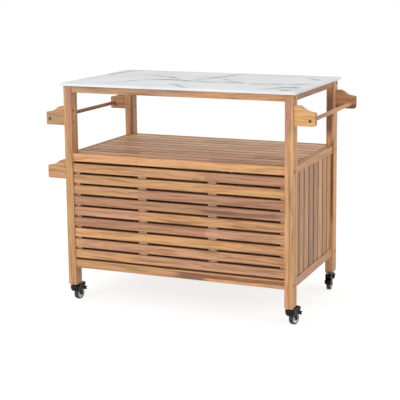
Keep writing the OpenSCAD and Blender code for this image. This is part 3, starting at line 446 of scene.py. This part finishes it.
# The veins as lines through points from the slab's middle: (along Y, width, strength, points), in mm
VEINS = [
    (False, 14, 1, [(-330, -250), (-260, -115), (-189, -52), (-120, -38), (-54, -60), (63, -80), (148, -42),
                    (238, -72), (421, -36), (480, 0)]),
    (True, 14, 0.8, [(-470, 60), (-462, 170), (-425, 250), (-360, 296)]),
    (False, 12, 1, [(-290, 115), (-178, 52), (-90, -12)]),
    (True, 10, 1, [(-36, -30), (8, 79), (44, 190), (84, 280)]),
    (False, 10, 1, [(-90, -165), (-30, -210), (27, -258), (70, -290)]),
    (False, 10, 0.8, [(20, 96), (80, 50), (140, -10)]),
    (False, 12, 1, [(318, -258), (350, -225), (372, -196), (402, -160), (435, -150), (480, -165)]),
    (False, 12, 1, [(345, -228), (385, -205), (404, -222), (438, -246), (462, -215), (484, -160)]),
    (False, 19, 1, [(-150, -42), (-120, -38), (-85, -48), (-30, -68)]),
    (False, 12, 0.75, [(350, 222), (420, 160), (478, 120)]),
]
# The veins' curves keep 1000 by 640 mm about the slab's middle as 0 to 1, and fade over a share of that
HALF = (500.0, 320.0)
VEIN_FADE = 0.05
# How far a vein's core and the pale stain beside it reach to each side in widths, and their strengths
CORE, STAIN = (0.65, 1.0), (3.0, 0.8)
# The waves of the veins in mm, and how strongly these push them sideways: some 15 mm
VEIN_WAVES, VEIN_SWING = 90, (55, 55, 0)


def vein(node, share, upward, width, strength, points):
    """The masks of a vein's core and of the stain beside it, from a point's shares of the slab."""
    a, b = (1, 0) if upward else (0, 1)
    spots = sorted(((p[a] / HALF[a] + 1) / 2, (p[b] / HALF[b] + 1) / 2) for p in points)
    curve = node("ShaderNodeFloatCurve", {"Value": share[a]})
    shape = curve.mapping.curves[0]
    for spot in spots[1:-1]:
        shape.points.new(*spot)
    shape.points[0].location, shape.points[-1].location = spots[0], spots[-1]
    curve.mapping.update()

    away = node(MATH, {0: share[b], 1: curve}, operation="SUBTRACT")
    away = node(MATH, {0: away, 1: 2 * HALF[b]}, operation="MULTIPLY")
    away = node(MATH, {0: away}, operation="ABSOLUTE")
    inside = 1.0
    for tip, fade in ((spots[0][0], VEIN_FADE), (spots[-1][0], -VEIN_FADE)):
        end = node(RANGE, {"Value": share[a], "From Min": tip, "From Max": tip + fade})
        inside = node(MATH, {0: inside, 1: end}, operation="MULTIPLY")
    masks = []
    for reach, amount in (CORE, STAIN):
        near = node(RANGE, {"Value": away, "From Max": reach * width, "To Min": amount * strength,
                            "To Max": 0.0}, **SOFT)
        masks.append(node(MATH, {0: near, 1: inside}, operation="MULTIPLY"))
    return masks


def sintered_stone():
    """Sintered stone: cool white, soft grey clouds and thin grey-green veins, honed to a low sheen."""
    material, node = new_material("sintered_stone_veined")
    mm = node(MAPPING, {"Vector": node(COORDS).outputs["Object"], "Scale": TO_MM})
    wave = node(NOISE, {"Vector": mm, "Scale": 1 / VEIN_WAVES, "Detail": 4.0})
    wave = node(VECTOR_MATH, {0: wave.outputs["Color"], 1: MID}, operation="SUBTRACT")
    moved = node(VECTOR_MATH, {0: wave, 1: VEIN_SWING, 2: mm}, operation="MULTIPLY_ADD")
    split = node(SPLIT, {0: moved})
    share = [node(RANGE, {"Value": split.outputs[axis], "From Min": -half, "From Max": half})
             for axis, half in zip("XY", HALF)]
    core, stain = 0.0, 0.0
    for shape in VEINS:
        one_core, one_stain = vein(node, share, *shape)
        core = node(MATH, {0: core, 1: one_core}, operation="MAXIMUM")
        stain = node(MATH, {0: stain, 1: one_stain}, operation="MAXIMUM")

    # A vein thins out and comes back along its way, and so does its stain
    patchy = node(NOISE, {"Vector": mm, "Scale": 1 / 60, "Detail": 2.0})
    left = node(RANGE, {"Value": patchy, "From Min": 0.35, "From Max": 0.62, "To Min": 0.3, "To Max": 1.0})
    core = node(MATH, {0: core, 1: left}, operation="MULTIPLY")
    left = node(RANGE, {"Value": patchy, "From Min": 0.3, "From Max": 0.75})
    stain = node(MATH, {0: stain, 1: left}, operation="MULTIPLY")
    veined = node(MATH, {0: core, 1: stain}, operation="ADD", use_clamp=True)

    cloud = node(NOISE, {"Vector": moved, "Scale": 1 / 170, "Detail": 3.0})
    ground = node(RAMP, {"Fac": cloud}, stops=[(0.35, linear("#D9DCDE")), (0.62, linear("#E6E8EA"))])
    colour = node(MIX, {0: veined, 6: ground, 7: linear("#555E5B")}, **BLEND)
    rough = node(RANGE, {"Value": patchy, "To Min": 0.34, "To Max": 0.46})
    grit = node(NOISE, {"Vector": mm, "Scale": 1.2, "Detail": 1.0})
    bump = node(BUMP, {"Strength": 0.08, "Distance": 0.0002, "Height": grit})
    node(OUTPUT, {"Surface": node(PRINCIPLED, {"Base Color": colour, "Roughness": rough, "Normal": bump})})
    return material


# Metal, plastic and rubber

def fine_surface(name, tones, rough, patches, metallic=0.0, specular=0.5, bump=0.15):
    """A metal or plastic with a fine mottle of two tones and of roughness, so many patches to a mm."""
    material, node = new_material(name)
    mm = node(MAPPING, {"Vector": node(COORDS).outputs["Object"], "Scale": TO_MM})
    mottle = node(NOISE, {"Vector": mm, "Scale": patches, "Detail": 3.0})
    colour = node(RAMP, {"Fac": mottle}, stops=[(0.4, linear(tones[0])), (0.6, linear(tones[1]))])
    shine = node(RANGE, {"Value": mottle, "From Min": 0.3, "From Max": 0.7,
                         "To Min": rough[0], "To Max": rough[1]})
    grit = node(NOISE, {"Vector": mm, "Scale": 3.0, "Detail": 1.0})
    raised = node(BUMP, {"Strength": bump, "Distance": 0.0001, "Height": grit})
    node(OUTPUT, {"Surface": node(PRINCIPLED, {"Base Color": colour, "Roughness": shine, "Normal": raised,
                                               "Metallic": metallic, "Specular IOR Level": specular})})
    return material


# Zinc-plated mild steel: bright, slightly blue, with a fine cloudy spangle
zinc = fine_surface("zinc_plated_steel", ("#B9BFC6", "#D2D6DA"), (0.22, 0.36), 0.35, metallic=1.0)
# Injection-moulded glossy nylon: near black, with a faint orange peel that breaks up the highlights
nylon = fine_surface("glossy_black_nylon", ("#050607", "#0D0E10"), (0.1, 0.18), 0.12, specular=0.24,
                     bump=0.3)
# Fastener steel with a dull, darkened zinc finish, so that the heads stay quiet in their holes
dark_zinc = fine_surface("darkened_zinc_steel", ("#4E4D49", "#66655F"), (0.45, 0.56), 0.35, metallic=1.0)
# Moulded ABS housing of the catch: warm white, satin
abs_white = fine_surface("satin_white_abs", ("#DAD9D2", "#E4E3DD"), (0.38, 0.48), 0.1)
# Nickel-plated magnets: brighter than zinc, and smooth
nickel = fine_surface("nickel_plated_magnet", ("#C8C6C0", "#DAD8D2"), (0.14, 0.22), 0.3, metallic=1.0,
                      bump=0.05)
# The natural polypropylene of the wheels' hubs and ribs: milky white
HUB_TONES = ("#ECEEF0", "#F8F9FA")
polypropylene = fine_surface("natural_polypropylene", HUB_TONES, (0.3, 0.42), 0.2)


def wheel_finish(corner):
    """A thermoplastic rubber tread on a polypropylene hub, told apart by the distance from the axle."""
    material, node = new_material("rubber_tread_and_hub_" + corner)
    joint = joints["roll_" + corner]
    tread_inner_mm = 19.02
    mm = node(MAPPING, {"Vector": node(COORDS).outputs["Object"], "Scale": TO_MM,
                        "Location": tuple(-c / MM for c in joint["pos_m"])})
    # The distance from the axle is the length of the cross product with its direction
    off_axle = node(VECTOR_MATH, {0: mm, 1: tuple(joint["axis"])}, operation="CROSS_PRODUCT")
    radius = node(VECTOR_MATH, {0: off_axle}, operation="LENGTH")
    rubber = node(MATH, {0: radius, 1: tread_inner_mm}, operation="GREATER_THAN")
    dust = node(NOISE, {"Vector": mm, "Scale": 0.4, "Detail": 3.0})
    tread = node(RAMP, {"Fac": dust}, stops=[(0.4, linear("#15171A")), (0.65, linear("#292B2F"))])
    hub = node(RAMP, {"Fac": dust}, stops=[(0.4, linear(HUB_TONES[0])), (0.65, linear(HUB_TONES[1]))])
    colour = node(MIX, {0: rubber, 6: hub, 7: tread}, **BLEND)
    rough = node(RANGE, {"Value": rubber, "To Min": 0.32, "To Max": 0.5})
    grit = node(NOISE, {"Vector": mm, "Scale": 2.0, "Detail": 1.0})
    bump = node(BUMP, {"Strength": 0.2, "Distance": 0.0002, "Height": grit})
    node(OUTPUT, {"Surface": node(PRINCIPLED, {"Base Color": colour, "Roughness": rough, "Normal": bump})})
    return material


for name in ("hinge_frame_leaves", "door_left_hardware", "door_right_hardware", "caster_stems"):
    wear(nodes[name], zinc)
for name in ("frame_bolts", "screws"):
    wear(nodes[name], dark_zinc)
wear(nodes["magnet_catch"], abs_white)
for corner in CORNERS:
    wear(nodes["fork_" + corner], nylon)
    wear(nodes["brake_" + corner], nylon)
    wear(nodes["wheel_" + corner], wheel_finish(corner))


# Pieces

# A face looks along an axis if its normal has more than this of it
FACING = 0.9


def only(piece):
    """Selects this piece alone and makes it active."""
    bpy.ops.object.select_all(action="DESELECT")
    piece.select_set(True)
    bpy.context.view_layer.objects.active = piece


def start(name):
    """Names the new primitive, puts its place in its mesh and selects it alone."""
    piece = bpy.context.object
    piece.name = piece.data.name = name
    only(piece)
    bpy.ops.object.transform_apply(location=True, rotation=True, scale=True)
    return piece


def pick(piece, kind, test):
    """In edit mode, selects the faces or edges of which the test holds."""
    bpy.ops.object.mode_set(mode="EDIT")
    bpy.ops.mesh.select_mode(type=kind)
    bpy.ops.mesh.select_all(action="DESELECT")
    bpy.ops.object.mode_set(mode="OBJECT")
    for part in piece.data.polygons if kind == "FACE" else piece.data.edges:
        part.select = test(part)
    bpy.ops.object.mode_set(mode="EDIT")


def done(piece, angle=30):
    """Leaves edit mode with doubles merged, faces outwards and smooth shading up to an angle."""
    bpy.ops.object.mode_set(mode="EDIT")
    bpy.ops.mesh.select_all(action="SELECT")
    bpy.ops.mesh.remove_doubles(threshold=1e-6)
    bpy.ops.mesh.normals_make_consistent(inside=False)
    bpy.ops.object.mode_set(mode="OBJECT")
    only(piece)
    bpy.ops.object.shade_smooth_by_angle(angle=math.radians(angle))


def copies(master, places, name, material, body):
    """One piece of a copy of the master at each place, a 4 x 4 matrix. The master is removed."""
    made = []
    for place in places:
        twin = master.copy()
        twin.data = master.data.copy()
        bpy.context.scene.collection.objects.link(twin)
        twin.data.transform(place)
        made.append(twin)
    bpy.data.objects.remove(master)
    only(made[0])
    for twin in made:
        twin.select_set(True)
    bpy.ops.object.join()
    piece = bpy.context.object
    piece.name = piece.data.name = name
    wear(piece, material)
    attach(piece, body)


def stone_top():
    """The slab: a board with rounded corners and finely eased edges."""
    rounded, eased, level = 4 * MM, 0.8 * MM, 0.01 * MM
    low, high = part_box("tabletop")
    bpy.ops.object.select_all(action="DESELECT")
    bpy.ops.mesh.primitive_cube_add(size=1, location=(low + high) / 2, scale=high - low)
    top = start("stone_top")

    def rise(edge):
        a, b = (top.data.vertices[i].co for i in edge.vertices)
        return abs(a.z - b.z)

    pick(top, "EDGE", lambda edge: rise(edge) > (high.z - low.z) / 2)
    bpy.ops.mesh.bevel(offset=rounded, segments=6)
    bpy.ops.object.mode_set(mode="OBJECT")
    pick(top, "EDGE", lambda edge: rise(edge) < level)
    bpy.ops.mesh.bevel(offset=eased, segments=3)
    done(top)
    wear(top, sintered_stone())
    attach(top, "frame")
    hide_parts("tabletop")


def screw_head(radius):
    """A raised head with a tapered round recess, along +Z, in a board whose face is at the origin."""
    tall, proud, crown, recess = 1.2 * MM, 0.3 * MM, 0.25 * MM, 0.5 * MM
    slope, rim, taper = 0.35 * radius, 0.2 * radius, 0.5
    bpy.ops.object.select_all(action="DESELECT")
    middle = (0, 0, proud - tall / 2)
    bpy.ops.mesh.primitive_cylinder_add(vertices=16, radius=radius, depth=tall, location=middle)
    head = start("screw_head")
    pick(head, "FACE", lambda face: face.normal.z > FACING)
    bpy.ops.mesh.inset(thickness=slope, depth=crown)
    bpy.ops.mesh.inset(thickness=rim)
    bpy.ops.mesh.extrude_region_move(TRANSFORM_OT_translate={"value": (0, 0, -recess)})
    bpy.ops.transform.resize(value=(taper, taper, 1))
    done(head, 40)
    return head


def turned(place, towards):
    """The matrix that takes +Z to a direction and the origin to a place in metres."""
    return Matrix.Translation(place) @ Vector(towards).to_track_quat("Z", "Y").to_matrix().to_4x4()


def batten_screws():
    """One screw through each batten into each slat of the front panel and the doors, seen from inside."""
    head_radius = 3.6 * MM
    # Half the width in mm of an end batten and of a door's, and the inner battens' third of the way out
    end_half, door_half, inner_x = 11, 18, in_x / 3
    for body, battens, boards, towards in (("frame", "front_battens", front_row, 1),
                                           ("door_left", "door_left_battens", door_row, -1),
                                           ("door_right", "door_right_battens", door_row, -1)):
        low, high = mm_box(battens)
        if body == "frame":
            middles = [low.x + end_half, -inner_x, inner_x, high.x - end_half]
        else:
            middles = [low.x + door_half, high.x - door_half]
        y = high.y if towards > 0 else low.y
        heights = [boards.start + (i + 0.5) * boards.pitch for i in range(boards.count)]
        places = [turned(Vector((x, y, z)) * MM, (0, towards, 0)) for x in middles for z in heights]
        copies(screw_head(head_radius), places, body + "_batten_screws", zinc, body)


def hinge_screws():
    """Three small screws in each hinge leaf, on the face that the closed door hides."""
    head_radius = 2.6 * MM
    # In mm: a leaf's height, half the gap between two leaves, the knuckle with its play, the pin's head
    leaf, leaf_gap, knuckle, pin_end = 50, 0.4, 3.3, 1
    # The holes' places up the leaf and back from the knuckle in mm
    holes = ((9, 12), (25, 22), (41, 12))
    low, high = mm_box("hinge_frame_leaves")
    for body, signs in (("frame", (-1, 1)), ("door_left", (-1,)), ("door_right", (1,))):
        places = []
        for sign in signs:
            side = -sign if body == "frame" else sign
            hinge = Vector(joints["door_right_hinge" if sign > 0 else "door_left_hinge"]["pos_m"]) / MM
            for base in (low.z + pin_end, high.z - leaf - pin_end):
                for rise, back in holes:
                    at = Vector((hinge.x - side * leaf_gap, hinge.y - knuckle - back, base + rise))
                    places.append(turned(at * MM, (side, 0, 0)))
        copies(screw_head(head_radius), places, body + "_hinge_screws", zinc, body)


def magnets():
    """Two nickel-plated magnets in the pockets of the catch, with eased rims."""
    radius, tall, sunk, eased = 2.4 * MM, 4.4 * MM, 0.4 * MM, 0.3 * MM
    catch_depth, off_middle = 17 * MM, 15 * MM
    low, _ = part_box("magnet_catch")
    bpy.ops.object.select_all(action="DESELECT")
    middle = (0, 0, sunk + tall / 2)
    bpy.ops.mesh.primitive_cylinder_add(vertices=32, radius=radius, depth=tall, location=middle)
    magnet = start("magnet")
    pick(magnet, "FACE", lambda face: face.normal.z < -FACING)
    bpy.ops.mesh.bevel(offset=eased, segments=2)
    done(magnet)
    places = [Matrix.Translation((side * off_middle, low.y + catch_depth / 2, low.z)) for side in (-1, 1)]
    copies(magnet, places, "catch_magnets", nickel, "frame")


def door_shade_tongues():
    """Dark tongues in the gaps between the doors' boards, a little way into each: painted shade that fills
    the gaps and keeps the light out.
    """
    thick, bite, short, eased = 4 * MM, 2 * MM, 0.5 * MM, 0.4 * MM
    for seed, body in enumerate(("door_left", "door_right"), SHADE_TONGUE_SEED):
        low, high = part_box(body + "_slats")
        size = (high.x - low.x - 2 * short, thick, door_row.gap * MM + 2 * bite)
        bpy.ops.object.select_all(action="DESELECT")
        bpy.ops.mesh.primitive_cube_add(size=1, scale=size)
        shade_tongue = start("shade_tongue")
        pick(shade_tongue, "EDGE", lambda edge: True)
        bpy.ops.mesh.bevel(offset=eased, segments=2)
        done(shade_tongue)
        middle = (low + high) / 2
        heights = [(door_row.start + i * door_row.pitch) * MM for i in range(1, door_row.count)]
        places = [Matrix.Translation((middle.x, middle.y, z)) for z in heights]
        # Dark umber, so that the gaps show as shade: painted shade
        finish = acacia("oiled_acacia_" + body + "_shade_tongues", "X", [UMBER], lively=0.4, seed=seed)
        copies(shade_tongue, places, body + "_shade_tongues", finish, body)


def caster_axes(corner, place):
    """The matrix from a caster's own axes (X along its trail, Y its axle) at a place to the cart."""
    axle = Vector(joints["roll_" + corner]["axis"])
    return Matrix.Translation(place) @ Matrix.Rotation(math.atan2(-axle.x, axle.y), 4, "Z")


def wheel_ribs():
    """Six thin ribs on each side of a hub, between its boss and its rim."""
    count, eased = 6, 0.3 * MM
    # A rib's middle and size in mm along the radius, the axle and the rim
    middle, size = Vector((11.5, 5.4, 0)) * MM, Vector((9.6, 4.2, 1.6)) * MM
    for corner in CORNERS:
        bpy.ops.object.select_all(action="DESELECT")
        bpy.ops.mesh.primitive_cube_add(size=1, location=middle, scale=size)
        rib = start("hub_rib")
        pick(rib, "FACE", lambda face: face.normal.y > FACING)
        bpy.ops.mesh.bevel(offset=eased, segments=2)
        done(rib)
        base = caster_axes(corner, joints["roll_" + corner]["pos_m"])
        # The ribs of one side stand between those of the other
        places = [base @ Matrix.Rotation(math.tau / count * (i + side / 2), 4, "Y")
                  @ Matrix.Rotation(math.pi * side, 4, "X") for i in range(count) for side in (0, 1)]
        copies(rib, places, "hub_ribs_" + corner, polypropylene, "wheel_" + corner)


def pedal_grips():
    """Three raised grip bars across the upper tab of each brake pedal."""
    radius, length, eased = 0.7 * MM, 21 * MM, 0.25 * MM
    # Where the tab starts from the brake's pin in mm, and how it falls
    tab_start, tab_slope = Vector((13, 0, -4)), math.atan2(-3.5, 10)
    # Half its thickness there in mm, what that loses in each mm of its way, and the grips' places on the way
    half_thick, thinning, grips = 2.2, 0.06, (4.5, 7.0, 9.5)
    tab_way = Vector((math.cos(tab_slope), 0, math.sin(tab_slope)))
    tab_out = Vector((-tab_way.z, 0, tab_way.x))
    across = (math.pi / 2, 0, 0)
    for corner in CORNERS:
        bpy.ops.object.select_all(action="DESELECT")
        bpy.ops.mesh.primitive_cylinder_add(vertices=12, radius=radius, depth=length, rotation=across)
        bar = start("grip_bar")
        pick(bar, "FACE", lambda face: abs(face.normal.y) > FACING)
        bpy.ops.mesh.bevel(offset=eased, segments=2)
        done(bar)
        base = caster_axes(corner, joints["brake_" + corner]["pos_m"])
        spots = [tab_start + far * tab_way + (half_thick - thinning * far) * tab_out for far in grips]
        places = [base @ Matrix.Translation(spot * MM) for spot in spots]
        copies(bar, places, "pedal_grips_" + corner, nylon, "brake_" + corner)


stone_top()
batten_screws()
hinge_screws()
magnets()
door_shade_tongues()
wheel_ribs()
pedal_grips()


# Floor, light and camera

WHITE = (1, 1, 1, 1)


def seen_directly(node):
    """1 for what the camera, a reflection or a view through glass meets first, or else 0."""
    path = node("ShaderNodeLightPath")
    direct = node(MATH, {0: path.outputs["Is Camera Ray"], 1: path.outputs["Is Glossy Ray"]},
                  operation="MAXIMUM")
    return node(MATH, {0: direct, 1: path.outputs["Is Transmission Ray"]}, operation="MAXIMUM")


def studio_floor():
    """A pale matt floor. The camera sees it as white, with the cart's soft shadow on it."""
    bpy.ops.object.select_all(action="DESELECT")
    bpy.ops.mesh.primitive_plane_add(size=30, location=(0, 0, 0))
    floor = start("studio_floor")
    material, node = new_material("pale_floor")
    matt = node(PRINCIPLED, {"Base Color": linear("#E6E6E6"), "Roughness": 0.9})
    # The glow alone isn't white: the light on a faint grey adds the rest, and a shadow takes it away
    glow = node("ShaderNodeEmission", {"Color": WHITE, "Strength": 0.76})
    faint = node("ShaderNodeBsdfDiffuse", {"Color": (0.42, 0.42, 0.42, 1)})
    seen = node("ShaderNodeAddShader", {0: glow, 1: faint})
    node(OUTPUT, {"Surface": node("ShaderNodeMixShader", {0: seen_directly(node), 1: matt, 2: seen})})
    wear(floor, material)


def studio_surround():
    """An even surround that the camera sees as white, and that lights the cart less than that."""
    world = bpy.data.worlds.new("studio")
    bpy.context.scene.world = world
    world.use_nodes = True
    world.node_tree.nodes.clear()
    node = functools.partial(add_node, world.node_tree)
    light = node("ShaderNodeBackground", {"Color": WHITE, "Strength": 0.62})
    seen = node("ShaderNodeBackground", {"Color": WHITE, "Strength": 1.0})
    both = node("ShaderNodeMixShader", {0: seen_directly(node), 1: light, 2: seen})
    node("ShaderNodeOutputWorld", {"Surface": both})


def softbox(name, place, aim, size, watts):
    """A rectangular area lamp that looks from a place to an aim."""
    data = bpy.data.lights.new(name, "AREA")
    data.shape, data.energy = "RECTANGLE", watts
    data.size, data.size_y = size
    lamp = bpy.data.objects.new(name, data)
    bpy.context.scene.collection.objects.link(lamp)
    lamp.location = place
    lamp.rotation_euler = (Vector(aim) - Vector(place)).to_track_quat("-Z", "Y").to_euler()


# The camera fitted to the photograph: place in metres, turn, tilt and roll in radians, and in pixels
# of a picture 400 wide the focal length and the point that the lens looks at
VIEW = {"place": (1.738, -4.0417, 1.3555), "turn": 0.3717, "tilt": -0.1587, "roll": -0.0044,
        "focal": 1086.1, "centre": (240, 140)}
PICTURE = 400


def photograph_camera():
    """The camera where the photograph's was, with its shift."""
    lens = bpy.data.cameras.new("camera")
    camera = bpy.data.objects.new("camera", lens)
    bpy.context.scene.collection.objects.link(camera)
    camera.location = VIEW["place"]
    camera.rotation_euler = Euler((math.pi / 2 + VIEW["tilt"], -VIEW["roll"], VIEW["turn"]), "XYZ")
    lens.sensor_width = 36
    lens.lens = VIEW["focal"] * lens.sensor_width / PICTURE
    lens.shift_x = 0.5 - VIEW["centre"][0] / PICTURE
    lens.shift_y = VIEW["centre"][1] / PICTURE - 0.5
    lens.clip_start, lens.clip_end = 0.05, 60
    bpy.context.scene.camera = camera


studio_floor()
studio_surround()
softbox("key_softbox", place=(-1.2, -3.6, 1.85), aim=(0, 0, 0.4), size=(2.2, 2.2), watts=64)
softbox("end_softbox", place=(3.6, -0.8, 1.8), aim=(0.2, 0, 0.5), size=(1.8, 1.8), watts=22)
softbox("top_softbox", place=(0, 0.6, 3.4), aim=(0, 0, 0.5), size=(2.6, 2.0), watts=9)
photograph_camera()
bpy.context.scene.view_settings.view_transform = "Standard"
